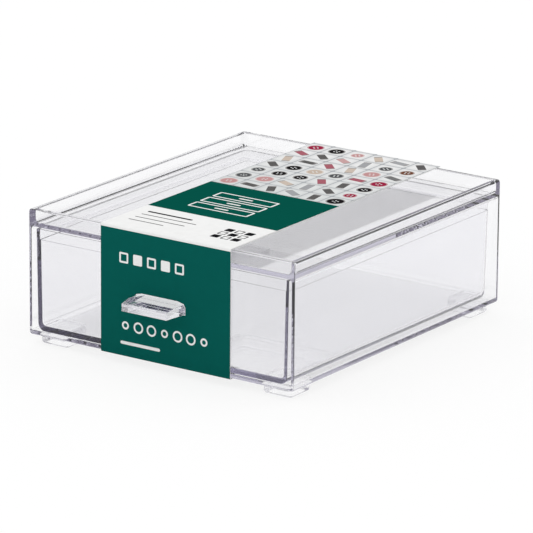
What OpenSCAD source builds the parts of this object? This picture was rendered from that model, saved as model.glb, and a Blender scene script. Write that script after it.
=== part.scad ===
// Stackable drawer box: a clear plastic case with an open front, one drawer that slides out on the case's floor,
// four feet that nest in the tray on top of the box below, and the card sleeve that is folded over its top and front.
// The front faces -Y and Z = 0 is the surface that the feet stand on.

/* [Case] */
// Width of the case
case_w = 160; // [120:1:260]
// Depth of the case, front to back
case_d = 185; // [120:1:300]
// Height of the case, from the underside of its floor to the top of its rim
case_h = 65; // [50:1:140]
// Thickness of the side walls and the back wall
case_wall_t = 1.6; // [1.2:0.1:2.8]
// Thickness of the floor
case_floor_t = 2.4; // [1.8:0.1:4]
// Radius of the outer upright edges at the front
case_front_r = 1; // [0.5:0.1:2]
// Radius of the outer upright edges at the back
case_back_r = 2; // [0.5:0.1:4]
// Radius of the outer lower edges along the sides
case_lower_r = 1.5; // [0.5:0.1:3]
// Radius of the outer upper edges along the sides
case_upper_r = 1.6; // [0.3:0.1:2]
// Radius inside the bay, along its two lower edges
bay_lower_r = 0.4; // [0.3:0.1:2.5]
// Radius inside the bay, along its two upper edges
bay_upper_r = 1.6; // [0.5:0.1:2.5]

/* [Stacking tray] */
// Depth of the tray that takes the feet of the box above
tray_deep = 7.2; // [4.5:0.1:12]
// Thickness of the top plate, which is the tray's floor
tray_plate_t = 1.6; // [1.2:0.1:4]
// Thickness of the raised rim round the tray
rim_t = 3; // [2:0.1:5]
// Radius of the tray's inner corners
tray_corner_r = 2; // [0.5:0.1:3]
// Radius where the rim meets the tray's floor along the sides
tray_side_r = 2.2; // [0.5:0.1:2.2]
// Radius where it meets the floor at the front and the back
tray_end_r = 0.6; // [0.3:0.1:2.2]

/* [Feet] */
// Width of a foot, side to side
foot_w = 17.4; // [10:0.1:30]
// Length of a foot, front to back
foot_l = 17; // [10:0.1:30]
// Height of a foot
foot_h = 5; // [3:0.1:5.5]
// Radius of a foot's upright edges
foot_corner_r = 2.4; // [1.2:0.1:4]
// Radius of a foot's lower edges, which lets it clear the round foot of the rim
foot_lower_r = 1.4; // [1.4:0.1:2]
// Clearance between a foot and the rim that it nests in
foot_nest_gap = 0.8; // [0.3:0.1:2]

/* [Drawer] */
// Thickness of the drawer's side walls and back wall
drawer_wall_t = 2.1; // [1.5:0.1:3.5]
// Thickness of the drawer's front
drawer_front_t = 1.2; // [1.2:0.1:3.5]
// Thickness of the drawer's floor
drawer_floor_t = 2.6; // [1.5:0.1:3.5]
// How far each side and the back lean in from the lip down to the floor
drawer_lean = 0.8; // [0:0.1:2]
// Radius of the outer lower edges along the sides and the back
drawer_lower_r = 4; // [1.5:0.1:6]
// Radius of the outer upright edges at the back
drawer_back_r = 5; // [1:0.1:8]
// Radius of the outer upright edges at the front
drawer_front_r = 0.3; // [0.2:0.1:2]
// Radius inside the drawer, in its upright corners at the front
inner_front_r = 0.4; // [0.3:0.1:5]
// Radius inside the drawer, in its upright corners at the back
inner_back_r = 2.8; // [0.5:0.1:8]
// Radius inside the drawer, along its floor at the sides and the back
inner_floor_r = 2.2; // [1:0.1:5]
// Height of the thinner lip at the top of the walls
lip_h = 5.5; // [3:0.1:12]
// How much thinner the walls are at the lip
lip_step = 0.4; // [0.2:0.1:0.6]
// Clearance between the drawer's lip and the case's left wall
drawer_left_gap = 3.2; // [0.4:0.1:5]
// Clearance between the drawer's lip and the case's right wall, to which it has been pushed
drawer_right_gap = 1.6; // [0.4:0.1:5]
// Clearance under the drawer
drawer_under_gap = 0.4; // [0.2:0.1:1]
// Clearance between the lip and the top plate
drawer_top_gap = 0.8; // [0.4:0.1:3]
// Clearance between the drawer and the back wall of the case
drawer_back_gap = 3.6; // [0.5:0.1:6]

/* [Pull] */
// Width of the pull where it meets the drawer
pull_w = 30; // [22:0.5:60]
// How much narrower each end of the pull is at its front
pull_end_taper = 1.5; // [0:0.1:3]
// How far the pull stands out from the drawer
pull_reach = 13.7; // [11:0.1:20]
// Height of the pull where it meets the drawer
pull_back_h = 5.8; // [5:0.1:10]
// Height of the pull at its front
pull_front_h = 3.9; // [3.5:0.1:5]
// Height of the pull's underside above the underside of the case's floor
pull_rise = 27.4; // [10:0.1:32]
// Width of the sloping facet at each end of the pull's top
crown_facet_w = 3.7; // [1:0.1:6]
// Drop of that facet
crown_facet_h = 0.9; // [0.3:0.1:1.5]
// Width of the steep facet between it and the pull's end
end_facet_w = 0.9; // [0.3:0.1:1.5]
// Drop of the steep facet
end_facet_h = 1.9; // [0.5:0.1:2]

/* [Card sleeve] */
// Width of the sleeve
sleeve_w = 78; // [50:0.5:110]
// How far the sleeve lies to the right of the middle
sleeve_shift = 4; // [-8:0.5:8]
// How far the sleeve is tucked back under the floor
tuck_d = 8; // [5:1:60]
// Thickness of the card
card_t = 0.4; // [0.3:0.1:0.6]
// Clearance between the card and the case
card_gap = 0.2; // [0.2:0.1:0.5]
// Outer radius of the two folds
fold_r = 0.8; // [0.7:0.1:0.9]
// Clearance round the pull in the sleeve's cut-out
cut_out_gap = 0.4; // [0.2:0.1:1]

/* [Hidden] */
$fn = 64;

// Colours as the photograph shows them
clear_colour = [0.88, 0.87, 0.92, 0.4];
foot_colour = [0.93, 0.93, 0.96, 0.7];
card_colour = [0.03, 0.32, 0.29];

// How far a cut runs past the face that it opens
past = 1;

// Places along Y: the box with its pull is centred on the origin
front_y = (pull_reach - case_d) / 2;
back_y = front_y + case_d;
bay_back_y = back_y - case_wall_t;

// Places along Z
case_z = foot_h;
rim_z = case_z + case_h;
tray_z = rim_z - tray_deep;
bay_z = case_z + case_floor_t;
bay_top_z = tray_z - tray_plate_t;
bay_w = case_w - 2 * case_wall_t;

// The drawer follows the bay, less its clearances
drawer_z = bay_z + drawer_under_gap;
drawer_h = bay_top_z - drawer_top_gap - drawer_z;
drawer_w = bay_w - drawer_left_gap - drawer_right_gap;
drawer_x = (drawer_left_gap - drawer_right_gap) / 2;
drawer_back_y = bay_back_y - drawer_back_gap;
drawer_d = drawer_back_y - front_y;
inner_h = drawer_h - drawer_floor_t;
pull_z = case_z + pull_rise;

// A rectangle with round corners, centred on the origin
module round_rect(w, d, r) {
    square([w - 2 * r, d], center = true);
    square([w, d - 2 * r], center = true);
    for (x = [-1, 1], y = [-1, 1])
        translate([x * (w / 2 - r), y * (d / 2 - r)])
            circle(r);
}

// The same with one radius for the two corners at -Y and another for the two at +Y
module two_radius_rect(w, d, front_r, back_r) {
    intersection() {
        round_rect(w, d, front_r);
        translate([0, -d / 2])
            square([w, d], center = true);
    }
    intersection() {
        round_rect(w, d, back_r);
        translate([0, d / 2])
            square([w, d], center = true);
    }
}

// A trough's cross-section, standing on the X axis: its sides lean out towards the top and its lower corners are round
module trough(top_w, h, lean, r) {
    side = norm([lean, h]);
    foot_x = top_w / 2 - lean;
    centre_x = foot_x + r * (lean - side) / h;
    tangent = [centre_x + r * h / side, r - r * lean / side];
    polygon([
        [-top_w / 2, h], [-tangent.x, tangent.y], [-centre_x, 0],
        [centre_x, 0], [tangent.x, tangent.y], [top_w / 2, h]
    ]);
    for (x = [-1, 1])
        translate([x * centre_x, r])
            circle(r);
}

// Stands a drawing up so that it faces -Y, and draws it out from y0 to y1
module along_y(y0, y1) {
    translate([0, y1, 0])
        rotate([90, 0, 0])
            linear_extrude(y1 - y0)
                children();
}

// Stands a drawing up so that its X runs along Y, and draws it out over the width w
module along_x(w) {
    rotate([90, 0, 90])
        linear_extrude(w, center = true)
            children();
}

module case() {
    color(clear_colour)
        difference() {
            intersection() {
                translate([0, (front_y + back_y) / 2, case_z])
                    linear_extrude(case_h)
                        two_radius_rect(case_w, case_d, case_front_r, case_back_r);
                along_y(front_y - past, back_y + past)
                    section(case_w, case_z, rim_z, case_lower_r, case_upper_r);
            }
            bay();
            tray();
        }
}

// A rectangle seen from the front, with one radius for its lower corners and another for its upper ones
module section(w, low_z, high_z, lower_r, upper_r) {
    half_h = (high_z - low_z) / 2;
    translate([0, low_z])
        trough(w, half_h, 0, lower_r);
    translate([0, high_z])
        mirror([0, 1])
            trough(w, half_h, 0, upper_r);
}

// The room that the drawer slides in
module bay() {
    along_y(front_y - past, bay_back_y)
        section(bay_w, bay_z, bay_top_z, bay_lower_r, bay_upper_r);
}

// The tray in the top that takes the next box's feet
module tray() {
    tray_w = case_w - 2 * rim_t;
    tray_d = case_d - 2 * rim_t;
    cut_h = tray_deep + past;
    translate([0, (front_y + back_y) / 2, tray_z])
        intersection() {
            linear_extrude(cut_h)
                round_rect(tray_w, tray_d, tray_corner_r);
            along_y(-tray_d, tray_d)
                trough(tray_w, cut_h, 0, tray_side_r);
            along_x(2 * tray_w)
                trough(tray_d, cut_h, 0, tray_end_r);
        }
}

// side is -1 at the left and 1 at the right, end is -1 at the front and 1 at the back
module foot(side, end) {
    inset = rim_t + foot_nest_gap;
    foot_x = case_w / 2 - inset - foot_w / 2;
    foot_y = case_d / 2 - inset - foot_l / 2;
    color(foot_colour)
        translate([side * foot_x, (front_y + back_y) / 2 + end * foot_y, 0])
            intersection() {
                linear_extrude(foot_h)
                    round_rect(foot_w, foot_l, foot_corner_r);
                along_y(-foot_l, foot_l)
                    trough(foot_w, foot_h, 0, foot_lower_r);
                along_x(2 * foot_w)
                    trough(foot_l, foot_h, 0, foot_lower_r);
            }
}

module drawer_tub() {
    color(clear_colour)
        translate([drawer_x, 0, drawer_z])
            difference() {
                tub_outside();
                tub_inside();
                lip_cut();
            }
}

// The front stands upright and the other three sides lean, outside and inside
module tub_outside() {
    intersection() {
        along_y(front_y - past, drawer_back_y + past)
            trough(drawer_w, drawer_h, drawer_lean, drawer_lower_r);
        along_x(drawer_w)
            translate([front_y, 0])
                trough(2 * drawer_d, drawer_h, drawer_lean, drawer_lower_r);
        translate([0, (front_y + drawer_back_y) / 2, 0])
            linear_extrude(drawer_h)
                two_radius_rect(drawer_w, drawer_d, drawer_front_r, drawer_back_r);
    }
}

module tub_inside() {
    inner_w = drawer_w - 2 * drawer_wall_t;
    inner_d = drawer_d - drawer_front_t - drawer_wall_t;
    inner_y = front_y + drawer_front_t;
    translate([0, 0, drawer_floor_t])
        intersection() {
            along_y(front_y, drawer_back_y)
                trough(inner_w, inner_h, drawer_lean, inner_floor_r);
            along_x(inner_w)
                translate([inner_y, 0])
                    trough(2 * inner_d, inner_h, drawer_lean, inner_floor_r);
            translate([0, inner_y + inner_d / 2, 0])
                linear_extrude(inner_h)
                    two_radius_rect(inner_w, inner_d, inner_front_r, inner_back_r);
        }
}

// Thins the walls at the lip
module lip_cut() {
    side_t = drawer_wall_t - lip_step;
    front_t = drawer_front_t - lip_step;
    lip_w = drawer_w - 2 * side_t;
    lip_d = drawer_d - front_t - side_t;
    translate([0, front_y + front_t + lip_d / 2, drawer_h - lip_h])
        linear_extrude(lip_h + past)
            two_radius_rect(lip_w, lip_d, inner_front_r, inner_back_r);
}

// The pull's face, seen from the front and grown by a clearance on every side
module pull_face(grow) {
    end_x = pull_w / 2 + grow;
    shoulder_x = end_x - end_facet_w;
    crown_x = shoulder_x - crown_facet_w;
    top = pull_back_h + grow;
    shoulder_z = top - crown_facet_h;
    end_z = shoulder_z - end_facet_h;
    polygon([
        [-end_x, -grow], [end_x, -grow], [end_x, end_z], [shoulder_x, shoulder_z],
        [crown_x, top], [-crown_x, top], [-shoulder_x, shoulder_z], [-end_x, end_z]
    ]);
}

// The pull's outline from above: it is narrower at its front
module pull_plan() {
    back_x = pull_w / 2;
    front_x = back_x - pull_end_taper;
    polygon([
        [-back_x, front_y], [-front_x, front_y - pull_reach],
        [front_x, front_y - pull_reach], [back_x, front_y]
    ]);
}

// The pull's outline from the side: its top falls towards its front
module pull_side() {
    polygon([
        [front_y, 0], [front_y, pull_back_h],
        [front_y - pull_reach, pull_front_h], [front_y - pull_reach, 0]
    ]);
}

// A solid block, with the drawer's front behind it
module drawer_pull() {
    color(clear_colour)
        translate([drawer_x, 0, pull_z])
            intersection() {
                along_y(front_y - pull_reach, front_y)
                    pull_face(0);
                linear_extrude(pull_back_h)
                    pull_plan();
                along_x(pull_w)
                    pull_side();
            }
}

// The strip of card seen from the side, with its two folds rounded, out to the given distance from the case
module wrap(out, r, end_y) {
    low_z = case_z - out;
    high_z = rim_z + out;
    wrap_y = front_y - out;
    translate([wrap_y + r, low_z])
        square([end_y - wrap_y - r, high_z - low_z]);
    translate([wrap_y, low_z + r])
        square([end_y - wrap_y, high_z - low_z - 2 * r]);
    for (z = [low_z + r, high_z - r])
        translate([wrap_y + r, z])
            circle(r);
}

module card_sleeve() {
    outer = card_gap + card_t;
    color(card_colour)
        difference() {
            translate([sleeve_shift, 0, 0])
                along_x(sleeve_w)
                    difference() {
                        wrap(outer, fold_r, back_y);
                        wrap(card_gap, fold_r - card_t, back_y + past);
                        translate([front_y + tuck_d, 0])
                            square([case_d, case_z]);
                    }
            translate([drawer_x, 0, pull_z])
                along_y(front_y - outer - past, front_y)
                    pull_face(cut_out_gap);
        }
}

case();
foot(-1, -1);  // foot_front_left
foot(1, -1);  // foot_front_right
foot(-1, 1);  // foot_back_left
foot(1, 1);  // foot_back_right
drawer_tub();
drawer_pull();
card_sleeve();
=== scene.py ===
# A stackable drawer box in clear plastic, with its printed card sleeve
import math

import bmesh
import bpy
from mathutils import Matrix, Vector


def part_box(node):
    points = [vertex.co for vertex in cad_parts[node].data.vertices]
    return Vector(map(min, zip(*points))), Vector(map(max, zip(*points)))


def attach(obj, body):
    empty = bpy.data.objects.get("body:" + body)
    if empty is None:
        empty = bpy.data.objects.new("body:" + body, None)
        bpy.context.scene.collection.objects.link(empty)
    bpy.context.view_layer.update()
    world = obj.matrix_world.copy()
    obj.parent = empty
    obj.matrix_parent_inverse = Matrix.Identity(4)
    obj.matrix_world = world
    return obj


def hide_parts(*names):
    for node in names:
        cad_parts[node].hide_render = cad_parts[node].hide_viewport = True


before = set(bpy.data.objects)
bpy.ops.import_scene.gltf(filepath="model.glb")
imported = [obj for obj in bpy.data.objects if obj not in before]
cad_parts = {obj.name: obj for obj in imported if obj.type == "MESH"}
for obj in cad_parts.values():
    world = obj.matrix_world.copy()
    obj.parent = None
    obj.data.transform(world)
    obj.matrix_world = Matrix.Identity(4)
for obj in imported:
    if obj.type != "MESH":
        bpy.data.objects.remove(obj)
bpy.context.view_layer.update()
print("frame loaded,", len(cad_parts), "nodes")

mm = 0.001
slack = 0.05 * mm       # two places this close count as one
pointSlack = 0.01 * mm  # the same for points that were made from one another
cutSlack = 0.001 * mm
straight = 0.99         # how nearly an edge or a normal follows its axis
axisY = 1
axisZ = 2
fullWhite = (1, 1, 1, 1)


# modelling helpers

def clearSelection():
    if bpy.context.object and bpy.context.object.mode != "OBJECT":
        bpy.ops.object.mode_set(mode="OBJECT")
    bpy.ops.object.select_all(action="DESELECT")


def makeActive(piece):
    clearSelection()
    piece.select_set(True)
    bpy.context.view_layer.objects.active = piece


def addBlock(name, low, high):
    clearSelection()
    low = Vector(low)
    high = Vector(high)
    bpy.ops.mesh.primitive_cube_add(size=1, location=(low + high) / 2, scale=high - low)
    block = bpy.context.object
    block.name = name
    block.data.name = name
    bpy.ops.object.transform_apply(location=True, rotation=True, scale=True)
    return block


def blockCorners(block):
    # the lowest and the highest corner of what stands square to the axes
    return Vector(block.bound_box[0]), Vector(block.bound_box[6])


def pick(piece, kind, test):
    # goes into edit mode with only what passes the test selected; kind is VERT, EDGE or FACE
    makeActive(piece)
    bpy.ops.object.mode_set(mode="EDIT")
    bpy.ops.mesh.select_mode(type=kind)
    bpy.ops.mesh.select_all(action="DESELECT")
    mesh = bmesh.from_edit_mesh(piece.data)
    parts = {"VERT": mesh.verts, "EDGE": mesh.edges, "FACE": mesh.faces}[kind]
    for part in [part for part in parts if test(part)]:
        part.select_set(True)
    bmesh.update_edit_mesh(piece.data)


def leaveEdit():
    bpy.ops.object.mode_set(mode="OBJECT")


def middle(part):
    return sum((vert.co for vert in part.verts), Vector()) / len(part.verts)


def runsAlong(edge, axis):
    step = edge.verts[1].co - edge.verts[0].co
    return abs(step[axis]) > straight * step.length


def upright(edge):
    return runsAlong(edge, axisZ)


def facing(edge, axis, side):
    # an edge round the outside of what looks along an axis, also where that leans a little
    return sum(face.normal[axis] * side > straight for face in edge.link_faces) == 1


def frontEdge(edge):
    return facing(edge, axisY, -1)


def backEdge(edge):
    return facing(edge, axisY, 1)


def topEdge(edge, top):
    return all(abs(vert.co.z - top) < slack for vert in edge.verts)


def lowerLoop(piece, edge):
    # the edges that lie in a piece's lowest plane
    return topEdge(edge, min(vert.co.z for vert in piece.data.vertices))


def shiftVerts(piece, test, step):
    pick(piece, "VERT", test)
    bpy.ops.transform.translate(value=step)
    leaveEdit()


def roundEdges(piece, test, radius, segments=8):
    pick(piece, "EDGE", test)
    bpy.ops.mesh.bevel(offset=radius, segments=segments, affect="EDGES", profile=0.5, clamp_overlap=False)
    leaveEdit()


def sliceOff(piece, point, normal):
    # takes away what lies beyond the plane, on the side that its normal points to
    pick(piece, "FACE", lambda face: True)
    bpy.ops.mesh.bisect(
        plane_co=point, plane_no=Vector(normal).normalized(),
        use_fill=True, clear_outer=True, threshold=cutSlack,
    )
    bpy.ops.mesh.select_all(action="SELECT")
    bpy.ops.mesh.normals_make_consistent(inside=False)
    leaveEdit()


def applyModifier(piece, modifier):
    makeActive(piece)
    bpy.ops.object.modifier_apply(modifier=modifier.name)


def cutAway(piece, *cutters):
    for cutter in cutters:
        cut = piece.modifiers.new("cut", "BOOLEAN")
        cut.operation = "DIFFERENCE"
        cut.solver = "EXACT"
        cut.object = cutter
        applyModifier(piece, cut)
        bpy.data.objects.remove(cutter)


def softenEdges(piece, width, segments=3, angle=35):
    # the small radius that a mould leaves on every edge, and normals that keep the flats flat
    soften = piece.modifiers.new("soften", "BEVEL")
    soften.width = width
    soften.segments = segments
    soften.limit_method = "ANGLE"
    soften.angle_limit = math.radians(angle)
    soften.use_clamp_overlap = False
    soften.miter_outer = "MITER_ARC"
    applyModifier(piece, soften)
    makeActive(piece)
    bpy.ops.object.shade_smooth_by_angle(angle=math.radians(angle))
    even = piece.modifiers.new("even", "WEIGHTED_NORMAL")
    even.keep_sharp = True
    applyModifier(piece, even)


# shader helpers

def addNode(tree, kind, settings=None, inputs=None):
    node = tree.nodes.new(kind)
    for name, value in (settings or {}).items():
        setattr(node, name, value)
    for name, value in (inputs or {}).items():
        if isinstance(value, bpy.types.NodeSocket):
            tree.links.new(value, node.inputs[name])
        else:
            node.inputs[name].default_value = value
    return node


def calc(tree, operation, first, second=0.0, clamp=False):
    node = addNode(
        tree, "ShaderNodeMath", {"operation": operation, "use_clamp": clamp}, {0: first, 1: second},
    )
    return node.outputs[0]


def timesPlus(tree, value, factor, added):
    node = addNode(
        tree, "ShaderNodeMath", {"operation": "MULTIPLY_ADD"}, {0: value, 1: factor, 2: added},
    )
    return node.outputs[0]


def vectorNode(tree, operation, first, second=(0, 0, 0)):
    node = addNode(tree, "ShaderNodeVectorMath", {"operation": operation}, {0: first, 1: second})
    return node.outputs


def vectorCalc(tree, operation, first, second=(0, 0, 0)):
    return vectorNode(tree, operation, first, second)["Vector"]


def remap(tree, value, low=0.0, high=1.0, toLow=0.0, toHigh=1.0, smooth=False):
    node = addNode(
        tree, "ShaderNodeMapRange", {"interpolation_type": "SMOOTHSTEP" if smooth else "LINEAR"},
        {"Value": value, "From Min": low, "From Max": high, "To Min": toLow, "To Max": toHigh},
    )
    return node.outputs["Result"]


def noise(tree, vector, scale, detail, roughness=0.5, distortion=0.0):
    node = addNode(tree, "ShaderNodeTexNoise", None, {
        "Vector": vector, "Scale": scale, "Detail": detail, "Roughness": roughness, "Distortion": distortion,
    })
    return node.outputs["Fac"]


def mixColour(tree, factor, low, high, blend="MIX"):
    node = addNode(
        tree, "ShaderNodeMix", {"data_type": "RGBA", "blend_type": blend}, {0: factor, 6: low, 7: high},
    )
    return node.outputs[2]


def splitAxes(tree, vector):
    return addNode(tree, "ShaderNodeSeparateXYZ", None, {0: vector}).outputs


def addBump(tree, surface, strength, depth, height):
    bump = addNode(tree, "ShaderNodeBump", None, {"Strength": strength, "Distance": depth, "Height": height})
    tree.links.new(bump.outputs[0], surface.inputs["Normal"])


def newGroup(name, inputs, outputs):
    group = bpy.data.node_groups.new(name, "ShaderNodeTree")
    for label, kind, value in inputs:
        socket = group.interface.new_socket(label, in_out="INPUT", socket_type="NodeSocket" + kind)
        if value is not None:
            socket.default_value = value
    for label, kind in outputs:
        group.interface.new_socket(label, in_out="OUTPUT", socket_type="NodeSocket" + kind)
    start = group.nodes.new("NodeGroupInput")
    end = group.nodes.new("NodeGroupOutput")
    return group, start.outputs, end.inputs


def useGroup(tree, group, inputs):
    return addNode(tree, "ShaderNodeGroup", {"node_tree": group}, inputs).outputs


def newMaterial(name):
    material = bpy.data.materials.new(name)
    material.use_nodes = True
    tree = material.node_tree
    tree.nodes.clear()
    surface = addNode(tree, "ShaderNodeBsdfPrincipled")
    out = addNode(tree, "ShaderNodeOutputMaterial")
    tree.links.new(surface.outputs[0], out.inputs["Surface"])
    place = addNode(tree, "ShaderNodeTexCoord").outputs["Object"]
    return material, tree, surface, out, place


# camera: worked out from the box's own edges in the picture

cameraSettings = {
    "place": (1.3541, -1.9470, 0.7426),
    "azimuth": 34.733,
    "elevation": 16.647,
    "roll": 0.462,
    "lens": 332.9,
    "sensor": 36,
    "seesFrom": 0.1,
    "seesTo": 60,
}


def addCamera():
    s = cameraSettings
    camera = bpy.data.objects.new("camera", bpy.data.cameras.new("camera"))
    bpy.context.scene.collection.objects.link(camera)
    camera.data.lens = s["lens"]
    camera.data.sensor_width = s["sensor"]
    camera.data.clip_start = s["seesFrom"]
    camera.data.clip_end = s["seesTo"]
    camera.matrix_world = (
        Matrix.Translation(s["place"])
        @ Matrix.Rotation(math.radians(s["azimuth"]), 4, "Z")
        @ Matrix.Rotation(math.radians(90 - s["elevation"]), 4, "X")
        @ Matrix.Rotation(math.radians(s["roll"]), 4, "Z")
    )
    bpy.context.scene.camera = camera


# studio: a white dome that is darker low down, and a white floor

studioSettings = {
    "domeLow": 0.78,
    "domeHigh": 1.08,
    "lowUpTo": 0.29,    # heights of a direction: 0 is level and 1 is straight up
    "highFrom": 0.6,
    "floorWhite": 0.9,
    "floorSeen": 0.16,  # the share of the floor's white that shadows can darken; the rest of it glows
    "floorSize": 14.0,
    "bounces": 48,
    "deepFrom": 12,     # from this many bounces on, a ray takes on the grey of the studio's sides
    "deepTo": 15,
    "sideBlend": 0.2,
    "sideGrey": (0.33, 0.3, 0.38, 1),
    "nearGrey": (0.14, 0.12, 0.18, 1),
}


def buildStudioSides():
    # what light that has run the length of a wall comes out to: the bright end of the room or its sides
    s = studioSettings
    group, given, out = newGroup(
        "studioSides",
        [
            ("Vector", "Vector", None),
            ("Side Grey", "Color", s["sideGrey"]),
            ("Near Grey", "Color", s["nearGrey"]),
        ],
        [("Color", "Color")],
    )
    blend = s["sideBlend"]
    level = vectorCalc(group, "MULTIPLY", given["Vector"], (1, 1, 0))
    parts = splitAxes(group, vectorCalc(group, "NORMALIZE", level))
    across = remap(group, calc(group, "MULTIPLY", parts["X"], parts["Y"]), blend, -blend, smooth=True)
    far = remap(group, parts["Y"], -blend, blend, smooth=True)
    ends = mixColour(group, far, given["Near Grey"], fullWhite)
    group.links.new(mixColour(group, across, given["Side Grey"], ends), out["Color"])
    return group


def deepShade(tree, sides, vector):
    # white for most rays, and the studio's sides for those that have been reflected many times
    depth = addNode(tree, "ShaderNodeLightPath").outputs["Ray Depth"]
    deep = remap(tree, depth, studioSettings["deepFrom"], studioSettings["deepTo"])
    return mixColour(tree, deep, fullWhite, useGroup(tree, sides, {"Vector": vector})["Color"])


def addDome(sides):
    s = studioSettings
    world = bpy.data.worlds.new("studio")
    world.use_nodes = True
    bpy.context.scene.world = world
    tree = world.node_tree
    dome = tree.nodes["Background"]
    direction = addNode(tree, "ShaderNodeTexCoord").outputs["Generated"]
    height = splitAxes(tree, direction)["Z"]
    strength = remap(tree, height, s["lowUpTo"], s["highFrom"], s["domeLow"], s["domeHigh"], smooth=True)
    tree.links.new(deepShade(tree, sides, direction), dome.inputs["Color"])
    tree.links.new(strength, dome.inputs["Strength"])


def addFloor(sides):
    s = studioSettings
    clearSelection()
    bpy.ops.mesh.primitive_plane_add(size=s["floorSize"])
    floor = bpy.context.object
    floor.name = "floor"
    material, tree, surface, out, place = newMaterial("studioFloor")
    light = addNode(tree, "ShaderNodeLightPath").outputs
    seen = calc(tree, "ADD", light["Is Camera Ray"], light["Is Glossy Ray"])
    seen = calc(tree, "ADD", seen, light["Is Transmission Ray"], clamp=True)
    white = s["floorWhite"]
    part = s["floorSeen"]
    shade = deepShade(tree, sides, place)
    paint = mixColour(tree, seen, (white, white, white, 1), (part, part, part, 1))
    paint = mixColour(tree, 1, paint, shade, "MULTIPLY")
    tree.links.new(paint, surface.inputs["Base Color"])
    surface.inputs["Roughness"].default_value = 1
    surface.inputs["Specular IOR Level"].default_value = 0
    tree.links.new(shade, surface.inputs["Emission Color"])
    tree.links.new(calc(tree, "MULTIPLY", seen, 1 - part), surface.inputs["Emission Strength"])
    floor.data.materials.append(material)


def addStudio():
    scene = bpy.context.scene
    scene.view_settings.view_transform = "Standard"
    for kind in ("max_bounces", "glossy_bounces", "transmission_bounces", "transparent_max_bounces"):
        setattr(scene.cycles, kind, studioSettings["bounces"])
    sides = buildStudioSides()
    addDome(sides)
    addFloor(sides)


# clear plastic

clearSettings = {
    "ior": 1.57,
    "tint": (0.2, 0.16, 0.42, 1),
    "streakDark": (0.975, 0.975, 0.985, 1),
    "streakPale": (0.99, 0.99, 0.995, 1),
}

plasticSettings = {
    "clearCase": {
        "base": 0.008, "smear": 0.02, "scratch": 0.04,
        "flowSize": 14, "flowDepth": 0.04 * mm, "density": 3, "bond": True,
    },
    "clearDrawer": {
        "base": 0.008, "smear": 0.02, "scratch": 0.04,
        "flowSize": 14, "flowDepth": 0.04 * mm, "density": 5, "bond": False,
    },
    "clearPull": {
        "base": 0.01, "smear": 0.02, "scratch": 0.04,
        "flowSize": 40, "flowDepth": 0.02 * mm, "density": 3, "bond": False,
    },
    "clearFeet": {
        "base": 0.12, "smear": 0.05, "scratch": 0.05,
        "flowSize": 40, "flowDepth": 0.02 * mm, "density": 3, "bond": True,
    },
}

markSettings = {
    "smearSize": 30.0,
    "smearDetail": 3,
    "smearRoughness": 0.55,
    "smearRange": (0.5, 0.72),
    "hairRange": (0.74, 0.8),
    "hairs": ((0.5, (14, 900, 900)), (-0.35, (900, 10, 900)), (1.1, (700, 700, 12))),
}

flowSettings = {
    "detail": 1,
    "roughness": 0.4,
    "distortion": 0.6,
    "stretch": (3, 0.6, 3),
    "streakDetail": 2,
}


def mapped(group, vector, scale, turn=(0, 0, 0)):
    node = addNode(group, "ShaderNodeMapping", None, {"Vector": vector, "Rotation": turn, "Scale": scale})
    return node.outputs["Vector"]


def buildHandlingMarks():
    # roughness of a moulded surface that has been handled: faint smears and hairline scratches
    s = markSettings
    group, given, out = newGroup(
        "handlingMarks",
        [
            ("Vector", "Vector", None),
            ("Base", "Float", 0.01),
            ("Smear Size", "Float", s["smearSize"]),
            ("Smear", "Float", 0.02),
            ("Scratch", "Float", 0.05),
        ],
        [("Roughness", "Float")],
    )
    smear = noise(group, given["Vector"], given["Smear Size"], s["smearDetail"], s["smearRoughness"])
    smear = remap(group, smear, *s["smearRange"], smooth=True)
    total = timesPlus(group, smear, given["Smear"], given["Base"])
    for turn, stretch in s["hairs"]:
        stretched = mapped(group, given["Vector"], stretch, (turn, turn / 2, turn))
        hair = noise(group, stretched, scale=1, detail=1)
        hair = remap(group, hair, *s["hairRange"])
        total = timesPlus(group, hair, given["Scratch"], total)
    group.links.new(total, out["Roughness"])
    return group


def buildMouldFlow():
    # the slow unevenness of a moulded wall
    s = flowSettings
    group, given, out = newGroup(
        "mouldFlow",
        [("Vector", "Vector", None), ("Size", "Float", 20.0)],
        [("Height", "Float"), ("Streak", "Float")],
    )
    slow = noise(group, given["Vector"], given["Size"], s["detail"], s["roughness"], s["distortion"])
    group.links.new(slow, out["Height"])
    stretched = mapped(group, given["Vector"], s["stretch"])
    group.links.new(noise(group, stretched, given["Size"], s["streakDetail"]), out["Streak"])
    return group


def buildFootBond():
    # 0 where a front foot is one with the case's floor, so that light passes, and 1 elsewhere
    s = footSettings
    group, given, out = newGroup("footBond", [("Vector", "Vector", None)], [("Alpha", "Float")])
    low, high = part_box("foot_front_right")
    centre = (low + high) / 2
    reach = (high - low) / 2 - Vector((s["cornerRadius"],) * 3)
    place = vectorCalc(group, "SUBTRACT", given["Vector"], (0, centre.y, 0))
    for shift in ((centre.x, 0, high.z), (reach.x, reach.y, 0)):
        place = vectorCalc(group, "SUBTRACT", vectorCalc(group, "ABSOLUTE", place), shift)
    place = vectorCalc(group, "MAXIMUM", place, (0, 0, 0))
    place = vectorCalc(group, "MULTIPLY", place, (1, 1, s["bondFlatness"]))
    away = vectorNode(group, "LENGTH", place)["Value"]
    group.links.new(calc(group, "GREATER_THAN", away, s["cornerRadius"] - s["bondInset"]), out["Alpha"])
    return group


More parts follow.
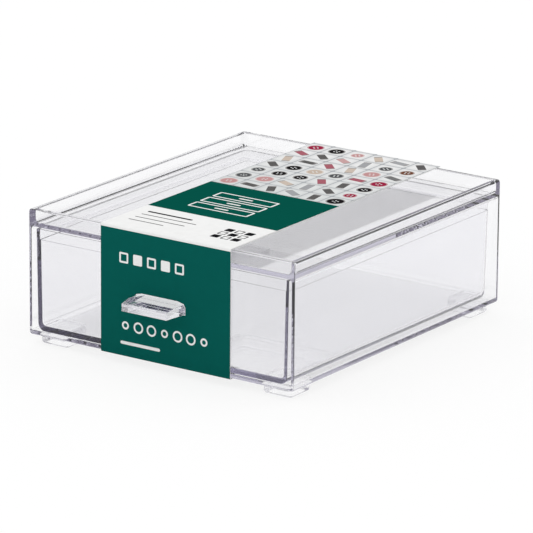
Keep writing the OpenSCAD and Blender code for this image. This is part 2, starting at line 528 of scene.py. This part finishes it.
def clearPlastic(name, groups):
    s = plasticSettings[name]
    material, tree, surface, out, place = newMaterial(name)
    if s["bond"]:
        alpha = useGroup(tree, groups["footBond"], {"Vector": place})["Alpha"]
        tree.links.new(alpha, surface.inputs["Alpha"])
    flow = useGroup(tree, groups["mouldFlow"], {"Vector": place, "Size": s["flowSize"]})
    marks = useGroup(
        tree, groups["handlingMarks"],
        {"Vector": place, "Base": s["base"], "Smear": s["smear"], "Scratch": s["scratch"]},
    )
    colour = mixColour(tree, flow["Streak"], clearSettings["streakDark"], clearSettings["streakPale"])
    tree.links.new(colour, surface.inputs["Base Color"])
    tree.links.new(marks["Roughness"], surface.inputs["Roughness"])
    addBump(tree, surface, 1, s["flowDepth"], flow["Height"])
    surface.inputs["IOR"].default_value = clearSettings["ior"]
    surface.inputs["Transmission Weight"].default_value = 1
    inside = addNode(
        tree, "ShaderNodeVolumeAbsorption", None,
        {"Color": clearSettings["tint"], "Density": s["density"]},
    )
    tree.links.new(inside.outputs[0], out.inputs["Volume"])
    return material


# case: floor, sides, back, top plate and rim in one moulding

smallSteps = 4  # facets round a small radius

caseSettings = {
    "wall": 1.6 * mm,
    "floor": 2.4 * mm,
    "backRadius": 2.0 * mm,
    "upperRadius": 1.6 * mm,
    "lowerRadius": 1.5 * mm,
    "frontRadius": 0.7 * mm,
    "bayUpper": 1.6 * mm,
    "bayLower": 0.4 * mm,
    "rim": 3.0 * mm,
    "trayDeep": 7.2 * mm,
    "plate": 1.6 * mm,
    "traySide": 2.2 * mm,
    "trayEnd": 0.6 * mm,
    "edge": 0.3 * mm,
    "past": 1.0 * mm,
}


def modelCase(material):
    s = caseSettings
    low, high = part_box("case")
    shell = addBlock("caseShell", low, high)
    notFront = low.y + slack
    roundEdges(shell, lambda edge: upright(edge) and middle(edge).y > 0, s["backRadius"])
    roundEdges(shell, lambda edge: topEdge(edge, high.z) and middle(edge).y > notFront, s["upperRadius"])
    roundEdges(shell, lambda edge: lowerLoop(shell, edge) and middle(edge).y > notFront, s["lowerRadius"])
    roundEdges(shell, frontEdge, s["frontRadius"], smallSteps)

    bayTop = high.z - s["trayDeep"] - s["plate"]
    bay = addBlock(
        "bayCutter",
        (low.x + s["wall"], low.y - s["past"], low.z + s["floor"]),
        (high.x - s["wall"], high.y - s["wall"], bayTop),
    )
    roundEdges(bay, lambda edge: topEdge(edge, bayTop) and runsAlong(edge, axisY), s["bayUpper"])
    roundEdges(bay, lambda edge: lowerLoop(bay, edge) and runsAlong(edge, axisY), s["bayLower"], smallSteps)

    tray = addBlock(
        "trayCutter",
        (low.x + s["rim"], low.y + s["rim"], high.z - s["trayDeep"]),
        (high.x - s["rim"], high.y - s["rim"], high.z + s["past"]),
    )
    roundEdges(tray, lambda edge: lowerLoop(tray, edge) and runsAlong(edge, axisY), s["traySide"])
    for endEdge in (frontEdge, backEdge):
        roundEdges(tray, lambda edge: endEdge(edge) and middle(edge).z < high.z, s["trayEnd"], smallSteps)
    cutAway(shell, bay, tray)
    softenEdges(shell, s["edge"])
    shell.data.materials.append(material)
    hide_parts("case")
    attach(shell, "case")
    print("case modelled,", len(shell.data.polygons), "faces")


# feet

footSettings = {
    "cornerRadius": 2.4 * mm,
    "lowerRadius": 1.4 * mm,
    "lowerSteps": 6,
    "edge": 0.2 * mm,
    "airGap": 0.03 * mm,
    "bondInset": 0.4 * mm,
    "bondFlatness": 20,
}


def modelFoot(node, name, material):
    s = footSettings
    low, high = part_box(node)
    foot = addBlock(name, low, (high.x, high.y, high.z - s["airGap"]))
    roundEdges(foot, upright, s["cornerRadius"])
    roundEdges(foot, lambda edge: lowerLoop(foot, edge), s["lowerRadius"], s["lowerSteps"])
    softenEdges(foot, s["edge"])
    foot.data.materials.append(material)
    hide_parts(node)
    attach(foot, "case")


# drawer tub

tubSettings = {
    "wall": 2.1 * mm,
    "front": 1.2 * mm,
    "floor": 2.6 * mm,
    "lean": 0.8 * mm,
    "lowerRadius": 4.0 * mm,
    "lowerSteps": 10,
    "backRadius": 5.0 * mm,
    "backSteps": 12,
    "frontRadius": 0.3 * mm,
    "innerFront": 0.4 * mm,
    "innerBack": 2.0 * mm,
    "innerSteps": 6,
    "floorRadius": 2.2 * mm,
    "lipHeight": 5.5 * mm,
    "lipStep": 0.4 * mm,
    "edge": 0.15 * mm,  # less than half of lipStep, or the two bevels of the step meet
    "past": 1.0 * mm,
}


def leanIn(block, lean):
    # draws the lower ends of the sides and the back in, as the draft of a mould does
    low, high = blockCorners(block)
    mid = (low + high) / 2
    shiftVerts(block, lambda vert: vert.co.z < mid.z and vert.co.x < mid.x, (lean, 0, 0))
    shiftVerts(block, lambda vert: vert.co.z < mid.z and vert.co.x > mid.x, (-lean, 0, 0))
    shiftVerts(block, lambda vert: vert.co.z < mid.z and vert.co.y > mid.y, (0, -lean, 0))


def modelTub(material):
    s = tubSettings
    low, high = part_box("drawer_tub")
    tub = addBlock("drawerTub", low, high)
    leanIn(tub, s["lean"])
    midY = (low.y + high.y) / 2
    notFront = low.y + slack
    notTop = high.z - slack
    roundEdges(tub, lambda edge: upright(edge) and middle(edge).y > midY, s["backRadius"], s["backSteps"])
    roundEdges(
        tub,
        lambda edge: lowerLoop(tub, edge) and middle(edge).y > notFront,
        s["lowerRadius"], s["lowerSteps"],
    )
    roundEdges(
        tub,
        lambda edge: frontEdge(edge) and middle(edge).z < notTop,
        s["frontRadius"], smallSteps,
    )

    wall = s["wall"]
    inner = addBlock(
        "innerCutter",
        (low.x + wall, low.y + s["front"], low.z + s["floor"]),
        (high.x - wall, high.y - wall, high.z),
    )
    leanIn(inner, s["lean"])
    shiftVerts(inner, lambda vert: vert.co.z > notTop, (0, 0, s["past"]))
    roundEdges(inner, lambda edge: lowerLoop(inner, edge) and runsAlong(edge, axisY), s["floorRadius"])
    for endEdge, radius, steps in (
        (frontEdge, s["innerFront"], smallSteps), (backEdge, s["innerBack"], s["innerSteps"]),
    ):
        roundEdges(inner, lambda edge: endEdge(edge) and middle(edge).z < high.z, radius, steps)
    lipWall = wall - s["lipStep"]
    lip = addBlock(
        "lipCutter",
        (low.x + lipWall, low.y + s["front"] - s["lipStep"], high.z - s["lipHeight"]),
        (high.x - lipWall, high.y - lipWall, high.z + s["past"]),
    )
    roundEdges(lip, lambda edge: upright(edge) and middle(edge).y < midY, s["innerFront"], smallSteps)
    roundEdges(lip, lambda edge: upright(edge) and middle(edge).y > midY, s["innerBack"], s["innerSteps"])
    cutAway(tub, inner, lip)
    softenEdges(tub, s["edge"])
    tub.data.materials.append(material)
    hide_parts("drawer_tub")
    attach(tub, "drawer")
    print("drawer tub modelled,", len(tub.data.polygons), "faces")


# pull

pullSettings = {
    "endTaper": 1.5 * mm,
    "frontHeight": 3.9 * mm,
    "crownWidth": 3.7 * mm,
    "crownDrop": 0.9 * mm,
    "endWidth": 0.9 * mm,
    "endDrop": 1.9 * mm,
    "edge": 0.2 * mm,
    "edgeSteps": 2,
    "edgeAngle": 12,
    "airGap": 0.03 * mm,
}


def faceEnds(block, low, high):
    # the two facets at each end of the pull's face: a shallow one on the crown, then a steep one
    s = pullSettings
    for side, endX in ((-1, low.x), (1, high.x)):
        shoulder = Vector((endX - side * s["endWidth"], 0, high.z - s["crownDrop"]))
        sliceOff(block, shoulder, (side * s["crownDrop"], 0, s["crownWidth"]))
        sliceOff(block, shoulder, (side * s["endDrop"], 0, s["endWidth"]))


def modelPull(material):
    s = pullSettings
    low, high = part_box("drawer_pull")
    pull = addBlock("drawerPull", low, (high.x, high.y - s["airGap"], high.z))
    reach = high.y - low.y
    drop = (high.z - low.z) - s["frontHeight"]
    faceEnds(pull, low, high)
    for side, endX in ((-1, low.x), (1, high.x)):
        sliceOff(pull, (endX, high.y, 0), (side * reach, -s["endTaper"], 0))
    sliceOff(pull, (0, high.y, high.z), (0, -drop, reach))

    softenEdges(pull, s["edge"], s["edgeSteps"], s["edgeAngle"])
    pull.data.materials.append(material)
    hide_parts("drawer_pull")
    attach(pull, "drawer")
    print("pull modelled,", len(pull.data.polygons), "faces")


# card sleeve: one strip over the top and down the front, tucked under the floor

sleeveSettings = {
    "card": 0.4 * mm,
    "foldRadius": 0.8 * mm,
    "foldSteps": 8,
    "tuck": 8.0 * mm,
    "cutOutGap": 0.4 * mm,
    "past": 3.0 * mm,
    "smoothBelow": 30,
}

# its print: the places and sizes of what is drawn are in millimetres

solid = 99.0  # a line this wide fills the shape

printSettings = {
    # one green ink in two copies: a lighter one on the front panel and a darker one on the top, as painted
    # light and shade for how each panel is lit
    "frontGreenPaintedLighter": (0.0033, 0.103, 0.087, 1),
    "topGreenPaintedDarker": (0.0021, 0.086, 0.064, 1),
    "white": (0.9, 0.9, 0.895, 1),
    "black": (0.012, 0.012, 0.014, 1),
    "frontWhiteAbove": 69.2,
    "bandFrom": -47.2,
    "bandTo": 6.8,
    "sheen": (0.52, 0.62),
    "inkLaid": (0.95, 1.0),
    "bump": 0.35,
    "bumpDepth": 0.02 * mm,
}

bareSettings = {
    "dark": (0.9, 0.895, 0.89, 1),
    "pale": (0.94, 0.935, 0.93, 1),
    "roughness": 0.85,
    "bump": 0.5,
    "bumpDepth": 0.03 * mm,
}

stockSettings = {
    "cloud": (260, 4, 0.65),
    "tooth": (2400, 2, 0.6),
    "toothShare": 0.6,
    "cloudShare": 0.4,
    "toneRange": (0.3, 0.7),
}

frontMarks = {
    "row": {
        "middle": 55.0, "first": -21.0, "step": 8.4, "count": 5,
        "half": 2.7, "radius": 0.7, "line": 0.95,
    },
    "beads": {
        "middle": 20.5, "first": -20.0, "step": 7.9, "count": 7,
        "half": 2.9, "small": 0.72, "line": 0.95,
    },
    "rule": {"middle": 11.5, "centre": -11.0, "half": 12.0, "tall": 0.8},
}

topMarks = {
    "drawers": {
        "centre": -1.0, "first": -32.0, "step": 10.6, "count": 3,
        "half": 18.0, "tall": 4.3, "radius": 1.2, "line": 1.1,
    },
    "handle": {"half": 4.2, "tall": 0.75},
    "rules": {
        "first": -56.5, "step": 5.4, "left": -28.0, "lengths": (27, 33, 30, 21),
        "firstTall": 0.9, "tall": 0.4,
    },
    "grid": {"centre": 30.0, "middle": -66.0, "step": 6.0, "half": 2.3, "radius": 0.6, "line": 0.75},
}

pictureSettings = {
    "cell": 13.0,
    "left": -35.0,
    "front": 6.8,
    "farRows": 7.0,
    "paper": (0.72, 0.74, 0.735, 1),
    "paperFar": (0.86, 0.86, 0.86, 1),
    "rail": (0.42, 0.44, 0.46, 1),
    "railHalf": 0.35,
    "railRadius": 1.6,
    "shadowWide": 3.0,
    "shadow": 0.25,
    "turnTo": 3.14159,
    "buttonLeast": 3.6,
    "buttonMore": 1.4,
    "ringLine": 0.7,
    "holeAt": 0.95,
    "holeHalf": 0.5,
    "spool": (5.2, 2.2, 0.8),
    "spoolEndsFrom": 3.9,
    "threads": 7.0,
    "threadShade": 0.12,
    "spoolsAbove": 0.52,
    "rimPale": 0.35,
    "pale": (0.9, 0.88, 0.86, 1),
    "spoolEnds": (0.35, 0.34, 0.34, 1),
    "things": (
        (0.0, (0.012, 0.011, 0.012, 1)),
        (0.26, (0.09, 0.095, 0.1, 1)),
        (0.4, (0.3, 0.31, 0.33, 1)),
        (0.5, (0.014, 0.012, 0.014, 1)),
        (0.6, (0.55, 0.3, 0.3, 1)),
        (0.69, (0.33, 0.02, 0.06, 1)),
        (0.78, (0.17, 0.07, 0.04, 1)),
        (0.88, (0.56, 0.46, 0.38, 1)),
    ),
}


def buildCardStock():
    # the fibre and tooth of uncoated card
    s = stockSettings
    group, given, out = newGroup(
        "cardStock",
        [("Vector", "Vector", None), ("Fibre", "Float", 1.0)],
        [("Tone", "Float"), ("Height", "Float")],
    )
    cloud = noise(group, given["Vector"], *s["cloud"])
    tooth = noise(group, given["Vector"], *s["tooth"])
    both = timesPlus(group, tooth, s["toothShare"], calc(group, "MULTIPLY", cloud, s["cloudShare"]))
    group.links.new(calc(group, "MULTIPLY", both, given["Fibre"]), out["Height"])
    group.links.new(remap(group, cloud, *s["toneRange"]), out["Tone"])
    return group


def buildRoundedBox():
    # 1 on a rounded box, or on its outline where Line is less than its half height
    group, given, out = newGroup(
        "roundedBox",
        [
            ("X", "Float", 0.0), ("Y", "Float", 0.0),
            ("Half Width", "Float", 1.0), ("Half Height", "Float", 1.0), ("Radius", "Float", 0.5),
            ("Line", "Float", solid), ("Softness", "Float", 0.08),
        ],
        [("Mask", "Float"), ("Distance", "Float")],
    )
    sides = []
    for axis, half in (("X", "Half Width"), ("Y", "Half Height")):
        reach = calc(group, "SUBTRACT", given[half], given["Radius"])
        sides.append(calc(group, "SUBTRACT", calc(group, "ABSOLUTE", given[axis]), reach))
    outerX, outerY = (calc(group, "POWER", calc(group, "MAXIMUM", side, 0.0), 2.0) for side in sides)
    corner = calc(group, "SQRT", calc(group, "ADD", outerX, outerY))
    inner = calc(group, "MINIMUM", calc(group, "MAXIMUM", sides[0], sides[1]), 0.0)
    away = calc(group, "SUBTRACT", calc(group, "ADD", corner, inner), given["Radius"])
    group.links.new(away, out["Distance"])

    def inside(distance):
        share = calc(group, "DIVIDE", distance, given["Softness"])
        return calc(group, "SUBTRACT", 0.5, share, clamp=True)

    hollow = inside(calc(group, "ADD", away, given["Line"]))
    group.links.new(calc(group, "SUBTRACT", inside(away), hollow, clamp=True), out["Mask"])
    return group


def drawBox(tree, box, x, y, halfWidth, halfHeight, radius, line=solid):
    return useGroup(tree, box, {
        "X": x, "Y": y, "Half Width": halfWidth, "Half Height": halfHeight, "Radius": radius, "Line": line,
    })


def addShapes(tree, box, across, along, shapes):
    # one mask for a list of (x, y, half width, half height, radius, line)
    total = None
    for x, y, *form in shapes:
        shiftedX = calc(tree, "SUBTRACT", across, x)
        shiftedY = calc(tree, "SUBTRACT", along, y)
        mask = drawBox(tree, box, shiftedX, shiftedY, *form)["Mask"]
        total = mask if total is None else calc(tree, "MAXIMUM", total, mask)
    return total


def printedCard(name, axes, groups):
    # card with a matt coating, and the two axes of its panel in millimetres
    s = printSettings
    material, tree, surface, out, place = newMaterial(name)
    parts = splitAxes(tree, place)
    across, along = (calc(tree, "MULTIPLY", parts[axis], 1 / mm) for axis in axes)
    stock = useGroup(tree, groups["cardStock"], {"Vector": place})
    addBump(tree, surface, s["bump"], s["bumpDepth"], stock["Height"])
    sheen = remap(tree, stock["Tone"], 0.0, 1.0, *s["sheen"])
    tree.links.new(sheen, surface.inputs["Roughness"])
    surface.inputs["Specular IOR Level"].default_value = 0
    return material, tree, surface, across, along, stock


def finishPrint(tree, surface, colour, stock):
    # the ink lies a little unevenly on the fibres
    laid = remap(tree, stock["Tone"], 0.0, 1.0, *printSettings["inkLaid"])
    tree.links.new(mixColour(tree, 1, colour, laid, "MULTIPLY"), surface.inputs["Base Color"])


def frontPrint(groups):
    s = printSettings
    material, tree, surface, x, z, stock = printedCard("frontPrint", "XZ", groups)
    row = frontMarks["row"]
    beads = frontMarks["beads"]
    rule = frontMarks["rule"]
    shapes = []
    for i in range(row["count"]):
        line = solid if i % 2 else row["line"]
        place = row["first"] + i * row["step"]
        shapes.append((place, row["middle"], row["half"], row["half"], row["radius"], line))
    for i in range(beads["count"]):
        half = beads["half"] * (1.0 if i % 3 else beads["small"])
        place = beads["first"] + i * beads["step"]
        shapes.append((place, beads["middle"], half, half, half, beads["line"]))
    shapes.append((rule["centre"], rule["middle"], rule["half"], rule["tall"], rule["tall"], solid))
    marks = addShapes(tree, groups["roundedBox"], x, z, shapes)
    # the front panel takes the lighter copy of the green ink: painted light
    colour = mixColour(tree, marks, s["frontGreenPaintedLighter"], s["white"])
    fold = calc(tree, "GREATER_THAN", z, s["frontWhiteAbove"])
    finishPrint(tree, surface, mixColour(tree, fold, colour, s["white"]), stock)
    return material


def buildPicture(box):
    # a tray of buttons and spools in square compartments, as on a craft box
    s = pictureSettings
    group, given, out = newGroup(
        "compartmentPicture", [("X", "Float", 0.0), ("Y", "Float", 0.0)], [("Color", "Color")],
    )
    columns = calc(group, "DIVIDE", calc(group, "SUBTRACT", given["X"], s["left"]), s["cell"])
    rows = calc(group, "DIVIDE", calc(group, "SUBTRACT", given["Y"], s["front"]), s["cell"])
    cell = addNode(group, "ShaderNodeCombineXYZ", None, {
        "X": calc(group, "FLOOR", columns), "Y": calc(group, "FLOOR", rows),
    }).outputs[0]
    localX, localY = (
        calc(group, "MULTIPLY", calc(group, "SUBTRACT", calc(group, "FRACT", count), 0.5), s["cell"])
        for count in (columns, rows)
    )
    chance = addNode(group, "ShaderNodeTexWhiteNoise", {"noise_dimensions": "3D"}, {"Vector": cell}).outputs
    drawn = addNode(group, "ShaderNodeSeparateColor", None, {0: chance["Color"]}).outputs

    far = calc(group, "DIVIDE", rows, s["farRows"], clamp=True)
    ground = mixColour(group, far, s["paper"], s["paperFar"])
    half = s["cell"] / 2 - s["railHalf"]
    floor = drawBox(group, box, localX, localY, half, half, s["railRadius"])
    shadow = remap(group, floor["Distance"], -s["shadowWide"], 0.0, 0.0, s["shadow"], smooth=True)
    ground = mixColour(group, shadow, ground, s["rail"])
    ground = mixColour(group, floor["Mask"], s["rail"], ground)

    ramp = addNode(group, "ShaderNodeValToRGB", None, {"Fac": drawn["Red"]})
    ramp.color_ramp.interpolation = "CONSTANT"
    while len(ramp.color_ramp.elements) < len(s["things"]):
        ramp.color_ramp.elements.new(0.5)
    for element, (position, colour) in zip(ramp.color_ramp.elements, s["things"]):
        element.position = position
        element.color = colour
    thing = ramp.outputs["Color"]

    # a turned copy of the cell for each thing
    turn = calc(group, "MULTIPLY", drawn["Green"], s["turnTo"])
    cosine = calc(group, "COSINE", turn)
    sine = calc(group, "SINE", turn)

    def turned(operation, first, second):
        return calc(
            group, operation, calc(group, "MULTIPLY", first, cosine), calc(group, "MULTIPLY", second, sine),
        )

    turnedX = turned("ADD", localX, localY)
    turnedY = turned("SUBTRACT", localY, localX)

    size = timesPlus(group, drawn["Blue"], s["buttonMore"], s["buttonLeast"])
    button = drawBox(group, box, turnedX, turnedY, size, size, size)
    ring = drawBox(group, box, turnedX, turnedY, size, size, size, s["ringLine"])["Mask"]
    holeX, holeY = (
        calc(group, "SUBTRACT", calc(group, "ABSOLUTE", place), s["holeAt"]) for place in (turnedX, turnedY)
    )
    holes = drawBox(group, box, holeX, holeY, s["holeHalf"], s["holeHalf"], s["holeHalf"])["Mask"]
    spool = drawBox(group, box, turnedX, turnedY, *s["spool"])
    ends = calc(group, "GREATER_THAN", calc(group, "ABSOLUTE", turnedX), s["spoolEndsFrom"])
    thread = calc(group, "SINE", calc(group, "MULTIPLY", turnedX, s["threads"]))
    thread = timesPlus(group, thread, s["threadShade"], s["threadShade"])

    light = mixColour(group, s["rimPale"], thing, s["pale"])
    buttonColour = mixColour(group, ring, thing, light)
    buttonColour = mixColour(group, holes, buttonColour, ground)
    spoolColour = mixColour(group, thread, thing, s["pale"])
    spoolColour = mixColour(group, ends, spoolColour, s["spoolEnds"])
    isSpool = calc(group, "GREATER_THAN", drawn["Green"], s["spoolsAbove"])
    colour = mixColour(group, isSpool, buttonColour, spoolColour)
    mask = addNode(
        group, "ShaderNodeMix", {"data_type": "FLOAT"}, {0: isSpool, 2: button["Mask"], 3: spool["Mask"]},
    )
    group.links.new(mixColour(group, mask.outputs[0], ground, colour), out["Color"])
    return group


def drawersDrawing():
    # the outline of a chest of three drawers, each with its handle
    drawers = topMarks["drawers"]
    handle = topMarks["handle"]
    shapes = []
    for i in range(drawers["count"]):
        place = (drawers["centre"], drawers["first"] + i * drawers["step"])
        shapes.append((*place, drawers["half"], drawers["tall"], drawers["radius"], drawers["line"]))
        shapes.append((*place, handle["half"], handle["tall"], handle["tall"], solid))
    return shapes


def rulesAndGrid():
    rules = topMarks["rules"]
    grid = topMarks["grid"]
    shapes = []
    for i, length in enumerate(rules["lengths"]):
        tall = rules["tall"] if i else rules["firstTall"]
        place = (rules["left"] + length / 2, rules["first"] - i * rules["step"])
        shapes.append((*place, length / 2, tall, tall, solid))
    for i in (-1, 0, 1):
        for j in (-1, 0, 1):
            line = grid["line"] if (i + j) % 2 else solid
            place = (grid["centre"] + i * grid["step"], grid["middle"] + j * grid["step"])
            shapes.append((*place, grid["half"], grid["half"], grid["radius"], line))
    return shapes


def topPrint(groups):
    s = printSettings
    material, tree, surface, x, y, stock = printedCard("topPrint", "XY", groups)
    box = groups["roundedBox"]
    # the top panel takes the darker copy of the green ink: painted shade
    band = mixColour(tree, addShapes(tree, box, x, y, drawersDrawing()), s["topGreenPaintedDarker"], s["white"])
    plain = mixColour(tree, addShapes(tree, box, x, y, rulesAndGrid()), s["white"], s["black"])
    picture = useGroup(tree, groups["compartmentPicture"], {"X": x, "Y": y})["Color"]
    colour = mixColour(tree, calc(tree, "GREATER_THAN", y, s["bandFrom"]), plain, band)
    colour = mixColour(tree, calc(tree, "GREATER_THAN", y, s["bandTo"]), colour, picture)
    finishPrint(tree, surface, colour, stock)
    return material


def bareCard(groups):
    s = bareSettings
    material, tree, surface, out, place = newMaterial("bareCard")
    stock = useGroup(tree, groups["cardStock"], {"Vector": place, "Fibre": 1.0})
    tree.links.new(mixColour(tree, stock["Tone"], s["dark"], s["pale"]), surface.inputs["Base Color"])
    addBump(tree, surface, s["bump"], s["bumpDepth"], stock["Height"])
    surface.inputs["Roughness"].default_value = s["roughness"]
    surface.inputs["Specular IOR Level"].default_value = 0
    return material


def foldStrip(sleeve, low, high):
    # from the top panel round the upper fold, down the front, round the lower fold and a little way under
    s = sleeveSettings
    radius = s["foldRadius"]
    foldY = low.y + radius
    pick(sleeve, "EDGE", lambda edge: all(vert.co.y < foldY + pointSlack for vert in edge.verts))
    for foldZ, onward in (
        (high.z - radius, (0, 0, low.z - high.z + 2 * radius)),
        (low.z + radius, (0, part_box("case")[0].y + s["tuck"] - low.y - radius, 0)),
    ):
        bpy.ops.mesh.spin(
            steps=s["foldSteps"], angle=math.radians(90), center=(0, foldY, foldZ), axis=(-1, 0, 0),
        )
        bpy.ops.mesh.extrude_edges_move(TRANSFORM_OT_translate={"value": onward})
    bpy.ops.mesh.select_all(action="SELECT")
    bpy.ops.mesh.remove_doubles(threshold=pointSlack)
    bpy.ops.mesh.normals_make_consistent(inside=False)
    leaveEdit()
    # outward is up on the top panel
    topPanel = max(sleeve.data.polygons, key=lambda face: face.center.z)
    if topPanel.normal.z < 0:
        sleeve.data.flip_normals()


def modelSleeve(materials):
    s = sleeveSettings
    low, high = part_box("card_sleeve")
    clearSelection()
    bpy.ops.mesh.primitive_plane_add(size=1)
    sleeve = bpy.context.object
    sleeve.name = "cardSleeve"
    sleeve.data.name = "cardSleeve"
    for vert in sleeve.data.vertices:
        x = high.x if vert.co.x > 0 else low.x
        y = high.y if vert.co.y > 0 else low.y + s["foldRadius"]
        vert.co = (x, y, high.z)
    foldStrip(sleeve, low, high)
    for material in materials:
        sleeve.data.materials.append(material)
    for face in sleeve.data.polygons:
        face.material_index = 0 if face.center.z > high.z - pointSlack else 1
    thick = sleeve.modifiers.new("card", "SOLIDIFY")
    thick.thickness = s["card"]
    thick.offset = -1
    thick.use_even_offset = True
    thick.material_offset = 2
    thick.material_offset_rim = 2
    applyModifier(sleeve, thick)

    pullLow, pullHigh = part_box("drawer_pull")
    gap = s["cutOutGap"]
    opening = addBlock(
        "openingCutter",
        (pullLow.x - gap, low.y - s["past"], pullLow.z - gap),
        (pullHigh.x + gap, low.y + s["past"], pullHigh.z + gap),
    )
    faceEnds(opening, *blockCorners(opening))
    opening.data.materials.append(materials[2])
    cutAway(sleeve, opening)
    makeActive(sleeve)
    bpy.ops.object.shade_smooth_by_angle(angle=math.radians(s["smoothBelow"]))
    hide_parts("card_sleeve")
    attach(sleeve, "sleeve")
    print("card sleeve modelled,", len(sleeve.data.polygons), "faces")


addCamera()
addStudio()

groups = {
    "handlingMarks": buildHandlingMarks(),
    "mouldFlow": buildMouldFlow(),
    "footBond": buildFootBond(),
    "cardStock": buildCardStock(),
    "roundedBox": buildRoundedBox(),
}
groups["compartmentPicture"] = buildPicture(groups["roundedBox"])
print("shader groups built")

plastics = {name: clearPlastic(name, groups) for name in plasticSettings}
print("materials built")

modelCase(plastics["clearCase"])
for node, name in (
    ("foot_front_left", "footFrontLeft"), ("foot_front_right", "footFrontRight"),
    ("foot_back_left", "footBackLeft"), ("foot_back_right", "footBackRight"),
):
    modelFoot(node, name, plastics["clearFeet"])
print("feet modelled")
modelTub(plastics["clearDrawer"])
modelPull(plastics["clearPull"])
modelSleeve([topPrint(groups), frontPrint(groups), bareCard(groups)])
